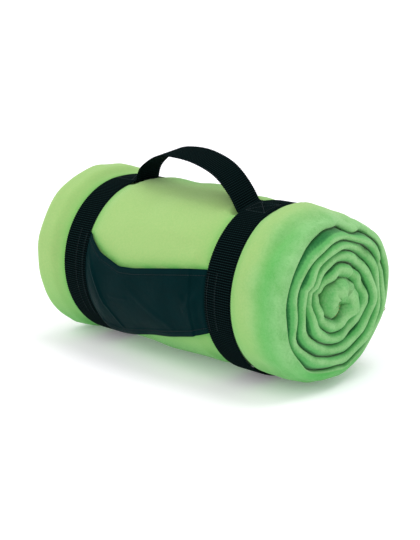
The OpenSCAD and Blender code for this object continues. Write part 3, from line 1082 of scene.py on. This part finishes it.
@dataclass
class Stitching:
    """Stitches laid one after another along lines, by a node tree."""

    name: str
    spacing: float
    kind: StitchKind = StitchKind.RUNNING
    thick: float = 0.28 * MM
    seed: int = 5

    def stitch_mesh(self) -> bpy.types.Object:
        """Return one stitch as a mesh object that lies along +Z."""
        work = bmesh.new()
        if self.kind is StitchKind.RUNNING:
            bmesh.ops.create_uvsphere(work, u_segments=6, v_segments=5, radius=1.0)
            long = self.spacing * 0.46
            bmesh.ops.scale(work, vec=(self.thick, self.thick, long), verts=work.verts)
        elif self.kind is StitchKind.WHIP:
            self.bend_tube(work, 1.6 * MM, 0.36 * MM, 2 * math.pi, 9, 5)
        elif self.kind is StitchKind.HOOKS:
            self.bend_tube(work, 0.42 * MM, 0.11 * MM, 1.5 * math.pi, 6, 4)
        else:
            self.bend_tube(work, 0.5 * MM, 0.09 * MM, 2 * math.pi, 7, 4)
        mesh = bpy.data.meshes.new(self.name + "_one")
        bmesh.ops.recalc_face_normals(work, faces=work.faces)
        work.to_mesh(mesh)
        work.free()
        mesh.shade_smooth()
        one = bpy.data.objects.new(self.name + "_one", mesh)
        bpy.context.scene.collection.objects.link(one)
        return one

    @staticmethod
    def bend_tube(work: bmesh.types.BMesh, radius: float, thick: float, turn: float,
                  steps: int, sides: int) -> None:
        """Add a bent tube round the Z axis.

        Args:
            work: The mesh to add to.
            radius: The bend's radius.
            thick: The tube's radius.
            turn: How far it bends, a full turn for a closed loop.
            steps: The number of steps along it.
            sides: The number of sides.
        """
        closed = turn > 2 * math.pi - 0.01
        rings = []
        for k in range(steps):
            a = turn * k / (steps if closed else steps - 1)
            ring = []
            for s in range(sides):
                b = 2 * math.pi * s / sides
                r = radius + thick * math.cos(b)
                ring.append(work.verts.new((r * math.cos(a), r * math.sin(a),
                                            thick * math.sin(b))))
            rings.append(ring)
        for k in range(steps if closed else steps - 1):
            first, second = rings[k], rings[(k + 1) % steps]
            for s in range(sides):
                t = (s + 1) % sides
                work.faces.new((first[s], first[t], second[t], second[s]))
        if not closed:
            work.faces.new(rings[0])
            work.faces.new(list(reversed(rings[-1])))

    def tree(self) -> bpy.types.NodeTree:
        """Return the node tree that lays stitches along a curve."""
        tree = bpy.data.node_groups.new(self.name + "_tree", "GeometryNodeTree")
        face = tree.interface
        face.new_socket("Geometry", in_out="INPUT", socket_type="NodeSocketGeometry")
        face.new_socket("Spacing", in_out="INPUT", socket_type="NodeSocketFloat")
        face.new_socket("Stitch", in_out="INPUT", socket_type="NodeSocketObject")
        face.new_socket("Thread", in_out="INPUT", socket_type="NodeSocketMaterial")
        face.new_socket("Geometry", in_out="OUTPUT", socket_type="NodeSocketGeometry")
        made = {}
        for key, kind in (("in", "NodeGroupInput"), ("out", "NodeGroupOutput"),
                          ("points", "GeometryNodeCurveToPoints"),
                          ("object", "GeometryNodeObjectInfo"),
                          ("place", "GeometryNodeInstanceOnPoints"),
                          ("size", "FunctionNodeRandomValue"),
                          ("real", "GeometryNodeRealizeInstances"),
                          ("paint", "GeometryNodeSetMaterial")):
            made[key] = tree.nodes.new(kind)
        made["points"].mode = "LENGTH"
        made["size"].data_type = "FLOAT"
        made["size"].inputs[2].default_value = 0.9
        made["size"].inputs[3].default_value = 1.1
        made["size"].inputs["Seed"].default_value = self.seed
        links = (("in", "Geometry", "points", "Curve"), ("in", "Spacing", "points", "Length"),
                 ("in", "Stitch", "object", "Object"), ("points", "Points", "place", "Points"),
                 ("object", "Geometry", "place", "Instance"),
                 ("points", "Rotation", "place", "Rotation"), ("size", 1, "place", "Scale"),
                 ("place", "Instances", "real", "Geometry"),
                 ("real", "Geometry", "paint", "Geometry"), ("in", "Thread", "paint", "Material"),
                 ("paint", "Geometry", "out", "Geometry"))
        for source, output, target, put in links:
            tree.links.new(made[source].outputs[output], made[target].inputs[put])
        return tree

    def along(self, lines: Sequence[np.ndarray], finish: Finish) -> bpy.types.Object:
        """Lay stitches along lines.

        Args:
            lines: The lines, each an array of points in metres.
            finish: The thread's finish.

        Returns:
            The stitching as one plain mesh.
        """
        curve = bpy.data.curves.new(self.name + "_line", "CURVE")
        curve.dimensions = "3D"
        for line in lines:
            spline = curve.splines.new("POLY")
            spline.points.add(len(line) - 1)
            for point, place in zip(spline.points, line):
                point.co = (*[float(v) for v in place], 1.0)
        carrier = bpy.data.objects.new(self.name + "_line", curve)
        bpy.context.scene.collection.objects.link(carrier)
        one = self.stitch_mesh()
        tree = self.tree()
        modifier = carrier.modifiers.new("stitches", "NODES")
        modifier.node_group = tree
        sockets = {item.name: item.identifier for item in tree.interface.items_tree
                   if item.item_type == "SOCKET" and item.in_out == "INPUT"}
        modifier[sockets["Spacing"]] = self.spacing
        modifier[sockets["Stitch"]] = one
        modifier[sockets["Thread"]] = WARDROBE.get(finish)
        bpy.context.view_layer.update()
        graph = bpy.context.evaluated_depsgraph_get()
        mesh = bpy.data.meshes.new_from_object(carrier.evaluated_get(graph))
        mesh.name = self.name
        bpy.data.objects.remove(carrier)
        bpy.data.objects.remove(one)
        piece = bpy.data.objects.new(self.name, mesh)
        bpy.context.scene.collection.objects.link(piece)
        return piece


def sew(name: str, lines: Sequence[np.ndarray], body: str, node: str,
        spacing: float = 2.6 * MM) -> bpy.types.Object:
    """Sew running stitches along lines.

    Args:
        name: The piece's name.
        lines: The lines, in metres.
        body: The body that the seam moves with.
        node: The node that the seam replaces.
        spacing: The stitches' pitch.

    Returns:
        The seam.
    """
    return fit(Stitching(name, spacing).along(lines, Finish.THREAD), body, "sewing_thread", node)


# ------------------------------------------------------------------ the webbing
@dataclass
class Strap:
    """A length of ribbed webbing laid along a path."""

    name: str
    width: float = 29.0
    thick: float = 1.4
    rib: float = 2.1

    def lay(self, middle: np.ndarray, face: np.ndarray, across: np.ndarray,
            start: float = 0.0) -> bpy.types.Object:
        """Lay the webbing.

        Args:
            middle: The path's points, evenly spaced and fine, in millimetres.
            face: The outward direction at each point.
            across: The direction across the webbing at each point.
            start: The run at the first point, for the ribs' phase.

        Returns:
            The webbing.
        """
        step = np.linalg.norm(np.diff(middle, axis=0), axis=1)
        run = np.concatenate([[0], np.cumsum(step)]) + start
        rib = 0.5 + 0.5 * np.cos(2 * math.pi * run / self.rib)
        spread = np.array([-1, -0.97, -0.9, -0.6, -0.3, 0, 0.3, 0.6, 0.9, 0.97, 1])
        half = self.width / 2
        edge = np.array([0.30, 0.72, 0.97, 1, 1, 1, 1, 1, 0.97, 0.72, 0.30])
        cells = []
        for sign in (1, -1):
            order = range(len(spread)) if sign > 0 else range(len(spread) - 1, -1, -1)
            for k in order:
                sway = np.where(abs(spread[k]) > 0.95, 0.45 * (rib - 0.5), 0.0)
                offset = spread[k] * half + np.sign(spread[k]) * sway
                lift = sign * edge[k] * self.thick * (0.5 - 0.27 * (1 - rib))
                cells.append(middle + across * offset[:, None] + face * lift[:, None])
        grid = np.stack(cells, 1)
        rows, cols = grid.shape[:2]
        faces = ring_faces(rows, cols)
        faces.append(tuple(range(cols - 1, -1, -1)))
        faces.append(tuple((rows - 1) * cols + c for c in range(cols)))
        wide = np.concatenate([spread, spread[::-1]]) * half
        uv = np.stack([np.broadcast_to(run[:, None], (rows, cols)),
                       np.broadcast_to(wide, (rows, cols))], -1) * MM
        strap = outward(mesh_object(self.name, grid.reshape(-1, 3) * MM, faces, Finish.WEBBING,
                                    uv.reshape(-1, 2)))
        for cap in strap.data.polygons[-2:]:
            cap.use_smooth = False
        return strap


def arc_path(x: float, start: float, end: float, radius: Callable[[float], float],
             step: float = 0.38) -> tuple[np.ndarray, np.ndarray, np.ndarray]:
    """Return a path round the roll.

    Args:
        x: The place along the roll.
        start: The angle where it starts, in degrees.
        end: The angle where it ends.
        radius: The radius of the path for an angle.
        step: The distance between points.

    Returns:
        The points, outward directions and directions across, in millimetres.
    """
    count = int(abs(end - start) * math.pi / 180 * 75 / step)
    angles = np.linspace(start, end, count)
    points = np.array([FORM.on_round(x, a, radius(a)) / MM for a in angles])
    # The flat at the top and the bottom is walked at an even pace
    length = np.concatenate([[0], np.cumsum(np.linalg.norm(np.diff(points, axis=0), axis=1))])
    even = np.linspace(0, length[-1], count)
    points = np.stack([np.interp(even, length, points[:, k]) for k in range(3)], -1)
    way = np.gradient(points, axis=0)
    way /= np.linalg.norm(way, axis=1)[:, None]
    across = np.tile([1.0, 0.0, 0.0], (count, 1))
    face = np.cross(way, across)
    spot = points[count // 2] - np.array([x, 0, FORM.axis_height])
    if face[count // 2] @ spot < 0:
        face = -face
    return points, face, across


class Side(Enum):
    """The two straps of the carrier."""

    LEFT = "left"
    RIGHT = "right"


@dataclass
class Carrier:
    """The two straps with their closures, in millimetres and degrees round the roll."""

    roll_radius: float = 72.4
    clearance: float = 0.35
    thick: float = 1.4
    sewn: float = 0.05
    tape: float = 1.1
    open_angle: float = 62.0
    peel_angle: float = -5.0
    ramp: float = 9.0
    lap: float = 40.0
    join_angle: float = 212.0

    def middle_of(self, side: Side) -> float:
        """Return the place of a strap's middle along the roll."""
        start = FORM.left_strap if side is Side.LEFT else FORM.right_strap
        return start + FORM.strap_width / 2

    @property
    def strap_mid(self) -> float:
        """Return the radius of the straps' middle layer."""
        return self.roll_radius + self.clearance + self.thick + self.sewn + self.thick / 2

    def build(self) -> list[bpy.types.Object]:
        """Build both straps.

        Returns:
            The pieces.
        """
        pieces = []
        for side in Side:
            pieces += self.strap(side)
        return pieces

    def strap(self, side: Side) -> list[bpy.types.Object]:
        """Build one strap, its back, its tail and its tapes.

        Args:
            side: Which strap.

        Returns:
            The pieces.
        """
        tag = side.value
        x = self.middle_of(side)
        flat = self.peel_angle - self.ramp
        tip = flat - self.lap
        inner_end = flat - 1.0 + 360.0
        mid = self.strap_mid
        path = arc_path(x, self.peel_angle + 0.15, inner_end, lambda a: mid)
        count = len(path[0])
        cut = int(count * (self.join_angle - self.peel_angle) / (inner_end - self.peel_angle))
        upper = Strap(tag + "_webbing").lay(*[part[:cut + 1] for part in path])
        start = FORM.on_round(x, self.open_angle + 6.5, mid)
        end = FORM.on_round(x, self.open_angle - 9.0, mid)
        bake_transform(upper)
        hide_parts(tag + "_strap", tag + "_back_strap")
        lower = Strap(tag + "_under_webbing").lay(*[part[cut:] for part in path],
                                                  start=self.run_to(path[0], cut))
        fit(lower, "carrier", "webbing")
        far = mid + 2 * self.tape + 0.3 + 2 * self.sewn + self.thick

        def lifted(angle: float) -> float:
            share = min(max((self.peel_angle - angle) / self.ramp, 0), 1)
            return mid + (far - mid) * (1 - math.cos(math.pi * share)) / 2

        tail = Strap(tag + "_tail_webbing").lay(*arc_path(x, self.peel_angle - 0.15, tip, lifted))
        fit(tail, tag + "_tail", "webbing", tag + "_closure_tail")
        tapes = self.tapes(side, tip + 4.0, flat - 3.0)
        return [upper, lower, tail, *tapes]

    @staticmethod
    def run_to(points: np.ndarray, index: int) -> float:
        """Return the length of a path up to one of its points."""
        return float(np.linalg.norm(np.diff(points[:index + 1], axis=0), axis=1).sum())

    def tapes(self, side: Side, low: float, high: float) -> list[bpy.types.Object]:
        """Build the loop and the hook tape with their stitching.

        Args:
            side: Which strap.
            low: The angle of their lower end.
            high: The angle of their upper end.

        Returns:
            The pieces.
        """
        tag = side.value
        x = self.middle_of(side)
        base = self.strap_mid + self.thick / 2 + self.sewn
        pieces = []
        plan = (("loop", base, base + 0.55, StitchKind.PILE, Finish.LOOP, "carrier", 0.62),
                ("hook", base + 2 * self.tape + 0.3 - 0.5, base + 2 * self.tape + 0.3,
                 StitchKind.HOOKS, Finish.HOOK, tag + "_tail", -0.55))
        for word, inner, outer, kind, finish, body, lift in plan:
            ground = Strap(tag + "_" + word + "_ground", 26.0, outer - inner, 0.9)
            mid = (inner + outer) / 2
            base_piece = ground.lay(*arc_path(x, low, high, lambda a, m=mid: m, 0.45))
            base_piece.data.materials[0] = WARDROBE.get(finish)
            rows = []
            face_at = outer if lift > 0 else inner
            for k in range(17):
                place = x - 12.0 + 24.0 * k / 16
                angles = np.linspace(low + 0.8, high - 0.8, 30)
                rows.append(np.array([FORM.on_round(place, a, face_at + lift * 0.35)
                                      for a in angles]))
            pile = Stitching(tag + "_" + word + "_face", 1.35 * MM, kind).along(rows, finish)
            fit(base_piece, body, word + "_tape", f"{tag}_{word}_tape")
            pieces += [base_piece, fit(pile, body, word + "_tape")]
            edge = (self.strap_mid - self.thick / 2 - 0.12 if word == "loop"
                    else base + 2 * self.tape + 0.3 + self.sewn + self.thick + 0.05)
            lines = []
            for place in (x - 11.6, x + 11.6):
                angles = np.linspace(low + 1, high - 1, 40)
                lines.append(np.array([FORM.on_round(place, a, edge) for a in angles]))
            pieces.append(sew(f"{tag}_{word}_sewing", lines, body, f"{tag}_{word}_stitching"))
        return pieces


# ------------------------------------------------------------------ the handle
@dataclass
class Handle:
    """The webbing handle, sewn under both straps."""

    arch: Sequence[tuple[float, float]] = (
        (-79, 160), (-65, 171), (-45, 180), (-20, 183), (10, 181), (35, 173), (55, 157))
    left_angle: float = 90.0
    right_angle: float = 104.0
    standoff: float = 1.6
    sewn_length: float = 24.0
    layer: float = 73.45
    box_half: float = 10.2
    seam_radius: float = 75.62

    def root(self, side: Side) -> np.ndarray:
        """Return the point where the handle leaves the roll."""
        angle = self.left_angle if side is Side.LEFT else self.right_angle
        shift = 0.0 if side is Side.LEFT else -FORM.squash
        x = (FORM.left_strap + FORM.strap_width + self.standoff if side is Side.LEFT
             else FORM.right_strap - self.standoff)
        rad = math.radians(angle)
        layer = self.layer - float(FORM.slack(np.array(x), np.array(angle)))
        return np.array([x, shift + layer * math.cos(rad),
                         FORM.axis_height + layer * math.sin(rad)])

    def line(self) -> tuple[np.ndarray, np.ndarray]:
        """Return the middle line of the whole handle and its tilt across, in degrees."""
        left, right = self.root(Side.LEFT), self.root(Side.RIGHT)
        knots = np.array([(left[0], left[2]), *self.arch, (right[0], right[2])])
        gap = np.linalg.norm(np.diff(knots, axis=0), axis=1)
        place = np.concatenate([[0], np.cumsum(gap)])
        fine = np.linspace(0, place[-1], 700)
        curve = Blanket.spline(place, knots, fine, np.array([0.2, 0.98]))
        share = (curve[:, 0] - left[0]) / (right[0] - left[0])
        rise = np.sin(math.pi * fine / place[-1])
        side = left[1] + share * (right[1] - left[1]) - 3.0 * rise ** 2
        arch = np.stack([curve[:, 0], side, curve[:, 1]], -1)
        tilt = 14.0 * share + 7.0 * rise ** 2
        ways = np.linspace(1, 0, 60)[:-1]
        first = left - np.outer(ways, [self.sewn_length, 0, 0])
        last = right + np.outer(1 - ways[:], [self.sewn_length, 0, 0])[1:]
        line = np.concatenate([first, arch, last])
        tilt = np.concatenate([np.zeros(len(first)), tilt, np.full(len(last), 14.0)])
        step = np.concatenate([[0], np.cumsum(np.linalg.norm(np.diff(line, axis=0), axis=1))])
        even = np.arange(0, step[-1], 0.38)
        line = np.stack([np.interp(even, step, line[:, k]) for k in range(3)], -1)
        tilt = np.interp(even, step, tilt)
        kernel = np.hanning(19)
        kernel /= kernel.sum()
        padded = np.pad(line, ((9, 9), (0, 0)), mode="reflect", reflect_type="odd")
        line = np.stack([np.convolve(padded[:, k], kernel, "valid") for k in range(3)], -1)
        return line, tilt

    def build(self) -> list[bpy.types.Object]:
        """Build the handle and the box stitches that hold it.

        Returns:
            The pieces.
        """
        line, tilt = self.line()
        rad = np.radians(tilt)
        across = np.stack([np.zeros_like(rad), np.cos(rad), np.sin(rad)], -1)
        way = np.gradient(line, axis=0)
        way /= np.linalg.norm(way, axis=1)[:, None]
        face = np.cross(way, across)
        face /= np.linalg.norm(face, axis=1)[:, None]
        strap = Strap("handle_webbing").lay(line, face, across)
        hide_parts("left_handle_end", "right_handle_end", "carry_handle")
        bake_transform(strap)
        return [strap, self.box(Side.LEFT), self.box(Side.RIGHT)]

    def box(self, side: Side) -> bpy.types.Object:
        """Sew a square with a cross in it through the strap and the handle's end."""
        start = FORM.left_strap if side is Side.LEFT else FORM.right_strap
        x = start + FORM.strap_width / 2
        angle = self.left_angle if side is Side.LEFT else self.right_angle
        half = self.box_half
        corners = [(-1, -1), (1, -1), (1, 1), (-1, 1), (-1, -1), (1, 1), (1, -1), (-1, 1)]
        lines = []
        for (a, b), (c, d) in zip(corners[:-1], corners[1:]):
            if (a, b, c, d) == (1, 1, 1, -1):
                continue
            steps = np.linspace(0.03, 0.97, 20)
            line = []
            for t in steps:
                u, v = half * (a + (c - a) * t), half * (b + (d - b) * t)
                turn = angle - math.degrees(v / OUTER_RADIUS)
                line.append(FORM.on_round(x + u, turn, self.seam_radius))
            lines.append(np.array(line))
        return sew(side.value + "_handle_sewing", lines, "carrier",
                   side.value + "_handle_box_stitch", 2.5 * MM)


# ------------------------------------------------------------------ the panel
@dataclass
class Panel:
    """The cloth panel between the straps at the front of the roll."""

    thick: float = 0.55
    tuck: float = 13.0
    hem: float = 6.5
    hem_row: float = 1.2
    seam_rows: Sequence[float] = (3.2, 12.0)
    seam_radius: float = 75.62
    sheet_radius: float = 76.5

    top_stops: Sequence[tuple[float, float]] = (
        (-98, 148), (-84, 152), (-60, 164), (-35, 170), (-15, 169), (80, 158))
    low_stops: Sequence[tuple[float, float]] = (
        (-98, 216), (-84, 218), (-70, 224), (-55, 225), (80, 200))
    folds: Sequence[tuple[float, float, Sequence[tuple[float, float]]]] = (
        (0.95, 1.5, ((-86, 158), (-72, 172), (-60, 199), (-48, 217))),
        (0.65, 1.8, ((-81, 166), (-69, 179), (-60, 199))),
        (0.75, 2.0, ((-85, 184), (-83, 202), (-76, 217))),
        (-1.3, 4.2, ((68, 164), (46, 179))),
        (-1.2, 3.6, ((66, 178), (59, 184), (59, 196))),
        (0.7, 2.6, ((66, 171), (44, 188))),
        (0.35, 1.4, ((-50, 192), (-28, 191))),
        (0.40, 3.0, ((-20, 186), (24, 204))))

    def edge(self, x: np.ndarray, stops: Sequence[tuple[float, float]]) -> np.ndarray:
        """Return the angle of an edge of the panel at places along the roll."""
        places = [s[0] for s in stops]
        values = [s[1] for s in stops]
        fine = np.linspace(places[0], places[-1], 400)
        rough = np.interp(fine, places, values)
        kernel = np.hanning(31)
        kernel /= kernel.sum()
        soft = np.convolve(np.pad(rough, 15, mode="edge"), kernel, "valid")
        return np.interp(x, fine, soft)

    def surface(self, x: np.ndarray, share: np.ndarray) -> tuple[np.ndarray, np.ndarray]:
        """Return the radius and angle of the panel's outer face.

        Args:
            x: Places along the roll.
            share: Shares from the top edge, 0, to the bottom edge, 1.

        Returns:
            The radius and the angle.
        """
        top, low = self.edge(x, self.top_stops), self.edge(x, self.low_stops)
        angle = top + (low - top) * share
        b = FORM.left_strap + FORM.strap_width
        c = FORM.right_strap
        free = ease((x - b) / 12.0) * ease((c - x) / 12.0)
        skin = FORM.skin(x, angle)
        radius = skin + 1.2 + 0.6 * free
        radius = np.minimum(radius, 74.05 + 6.0 * ease((x - b) / 4.0) * ease((c - x) / 4.0))
        for height, width, line in self.folds:
            away = self.distance(x, angle, line)
            radius = radius + height * np.exp(-(away / width) ** 2) * free
        soft = Ripple(21, 38.0)
        spot = np.stack([x, angle * 1.3, 0 * x], -1)
        radius = radius + 0.55 * soft.at(spot) * free
        # The slack edges stand a little off the fleece
        lip = np.exp(-(share / 0.10) ** 2) + np.exp(-((1 - share) / 0.09) ** 2)
        return radius + 0.7 * lip * free, angle

    @staticmethod
    def distance(x: np.ndarray, angle: np.ndarray,
                 line: Sequence[tuple[float, float]]) -> np.ndarray:
        """Return the distance of points on the roll from a line drawn on it.

        Args:
            x: Places along the roll.
            angle: Angles round it.
            line: The line's places and angles.

        Returns:
            The distance in millimetres.
        """
        arc = math.pi / 180 * 77.0
        best = np.full(np.broadcast(x, angle).shape, 1e9)
        for (x0, a0), (x1, a1) in zip(line[:-1], line[1:]):
            way = np.array([x1 - x0, (a1 - a0) * arc])
            along = ((x - x0) * way[0] + (angle - a0) * arc * way[1]) / (way @ way)
            along = np.clip(along, 0, 1)
            best = np.minimum(best, np.hypot(x - x0 - along * way[0],
                                             (angle - a0) * arc - along * way[1]))
        return best

    def build(self) -> list[bpy.types.Object]:
        """Build the panel with its hems and seams.

        Returns:
            The pieces.
        """
        start = FORM.left_strap + FORM.strap_width - self.tuck
        end = FORM.right_strap + self.tuck
        xs = np.linspace(start, end, 200)
        shares = np.linspace(0, 1, 100)
        x, share = np.meshgrid(xs, shares, indexing="ij")
        radius, angle = self.surface(x, share)
        top, low = self.edge(x, self.top_stops), self.edge(x, self.low_stops)
        down, up = arc_length(angle - top), arc_length(low - angle)
        inside = ease((x - start - 14) / 3.0) * ease((end - 14 - x) / 3.0)
        hem = 0.45 * (1 - ease((np.minimum(down, up) - self.hem) / 0.9)) * inside
        row = self.hem - self.hem_row
        groove = 0.35 * (hump(down, row, 0.7) + hump(up, row, 0.7)) * inside
        outer = self.points(x, radius + hem - groove, angle)
        inner = self.points(x, radius - self.thick, angle)
        rows, cols = x.shape
        grid = np.concatenate([outer, inner[:, ::-1]], 1)
        faces = cloth_faces(rows, 2 * cols)
        length = arc_length(angle - 190.0)
        uv = np.stack([np.concatenate([x, x[:, ::-1]], 1),
                       np.concatenate([length, length[:, ::-1]], 1)], -1) * MM
        piece = outward(mesh_object("panel_cloth", grid.reshape(-1, 3) * MM, faces, Finish.PANEL,
                                    uv.reshape(-1, 2)))
        fit(piece, "carrier", "panel_cloth", "front_panel")
        flat = (end - start) * MM
        tall = math.radians(float((low - top).mean())) * self.sheet_radius * MM
        flat * tall
        return [piece, self.hem_stitching(), self.seam(Side.LEFT), self.seam(Side.RIGHT)]

    def points(self, x: np.ndarray, radius: np.ndarray, angle: np.ndarray) -> np.ndarray:
        """Return points of the panel for their place, radius and angle."""
        rad = np.radians(angle)
        y = radius * np.cos(rad)
        y = y + np.clip(y / 30.0, -1, 1) * FORM.squash
        return np.stack([x, y, FORM.axis_height + radius * np.sin(rad)], -1)

    def hem_stitching(self) -> bpy.types.Object:
        """Sew the hems along the top and bottom edges."""
        b = FORM.left_strap + FORM.strap_width
        x = np.linspace(b + 1.5, FORM.right_strap - 1.5, 160)
        top, low = self.edge(x, self.top_stops), self.edge(x, self.low_stops)
        inset = math.degrees((self.hem - self.hem_row) / OUTER_RADIUS) / (low - top)
        lines = []
        for share in (inset, 1 - inset):
            radius, angle = self.surface(x, share)
            lines.append(self.points(x, radius + 0.25, angle) * MM)
        return sew("panel_hem_sewing", lines, "carrier", "panel_hem_stitching")

    def seam(self, side: Side) -> bpy.types.Object:
        """Sew one side of the panel to its strap with two rows."""
        b = FORM.left_strap + FORM.strap_width
        c = FORM.right_strap
        lines = []
        for inset in self.seam_rows:
            x = b - inset if side is Side.LEFT else c + inset
            top = float(self.edge(np.array([x]), self.top_stops)[0]) + 3
            low = float(self.edge(np.array([x]), self.low_stops)[0]) - 3
            angles = np.linspace(top, low, 60)
            lines.append(np.array([FORM.on_round(x, a, self.seam_radius) for a in angles]))
        return sew(side.value + "_panel_sewing", lines, "carrier", side.value + "_panel_seam")


# ------------------------------------------------------------------ the studio
@dataclass
class Studio:
    """The camera, the lights and the floor."""

    bearing: float = 43.6
    height: float = 14.5
    distance: float = 1.02
    aim: tuple[float, float, float] = (-0.0036, 0.0006, 0.0748)
    roll: float = -0.7
    lens: float = 74.5

    def camera(self) -> None:
        """Set the camera up."""
        data = bpy.data.cameras.new("camera")
        data.sensor_fit = "VERTICAL"
        data.sensor_height = 36.0
        data.lens = self.lens
        data.clip_end = 200.0
        seat = bpy.data.objects.new("camera", data)
        bpy.context.scene.collection.objects.link(seat)
        bearing, height = math.radians(self.bearing), math.radians(self.height)
        out = Vector((math.sin(bearing) * math.cos(height), -math.cos(bearing) * math.cos(height),
                      math.sin(height)))
        eye = Vector(self.aim) + out * self.distance
        turn = (-out).to_track_quat("-Z", "Y").to_matrix().to_4x4()
        tip = Matrix.Rotation(math.radians(self.roll), 4, "Z")
        seat.matrix_world = Matrix.Translation(eye) @ turn @ tip
        bpy.context.scene.camera = seat

    def sun(self, name: str, place: tuple[float, float, float], angle: float, power: float,
            colour: tuple[float, float, float]) -> None:
        """Light the roll softly and evenly from one side.

        Args:
            name: The light's name.
            place: A point on the way from the roll towards the light.
            angle: The width of the light in the sky, in degrees.
            power: Its strength.
            colour: Its colour.
        """
        data = bpy.data.lights.new(name, "SUN")
        data.angle = math.radians(angle)
        data.energy = power
        data.color = colour
        light = bpy.data.objects.new(name, data)
        bpy.context.scene.collection.objects.link(light)
        way = -Vector(place)
        light.matrix_world = (Matrix.Translation(place)
                              @ way.to_track_quat("-Z", "Y").to_matrix().to_4x4())

    def lights(self) -> None:
        """Light the scene."""
        self.sun("key", (-0.55, -1.1, 1.2), 60.0, 0.85, (1.0, 0.985, 0.95))
        self.sun("top", (0.30, 0.40, 1.6), 30.0, 1.05, (1.0, 1.0, 1.0))
        world = bpy.data.worlds.new("studio")
        world.use_nodes = True
        back = world.node_tree.nodes["Background"]
        back.inputs["Color"].default_value = (0.97, 0.97, 1.0, 1.0)
        back.inputs["Strength"].default_value = 0.82
        bpy.context.scene.world = world
        bpy.context.scene.view_settings.view_transform = "Standard"

    def floor(self) -> None:
        """Lay the pale floor."""
        mesh = bpy.data.meshes.new("floor")
        reach = 90.0
        corners = [(-reach, -reach, 0), (reach, -reach, 0), (reach, reach, 0), (-reach, reach, 0)]
        mesh.from_pydata(corners, [], [(0, 1, 2, 3)])
        g = Graph("floor_paint")
        cloud = g.noise(g.place(), 3.0, 2.0, 0.5)
        colour = g.mix(cloud, shade(0.93, 0.92, 0.95), shade(0.96, 0.955, 0.97))
        mesh.materials.append(g.finish(Base_Color=colour, Roughness=0.9,
                                       Emission_Color=shade(1.0, 0.98, 1.0),
                                       Emission_Strength=0.14))
        floor = bpy.data.objects.new("floor", mesh)
        bpy.context.scene.collection.objects.link(floor)

    def build(self) -> None:
        """Build the studio, camera first."""
        self.camera()
        self.lights()
        self.floor()


def main() -> None:
    """Build every part of the model in order and report its pieces."""
    logging.basicConfig(level=logging.INFO, format="%(name)s: %(message)s")
    Studio().build()
    for part in (Blanket(), Carrier(), Handle(), Panel()):
        for piece in part.build():
            LOG.info("%s: %s, %d faces", type(part).__name__, piece.name,
                     len(piece.data.polygons))


if __name__ == "__main__":
    main()
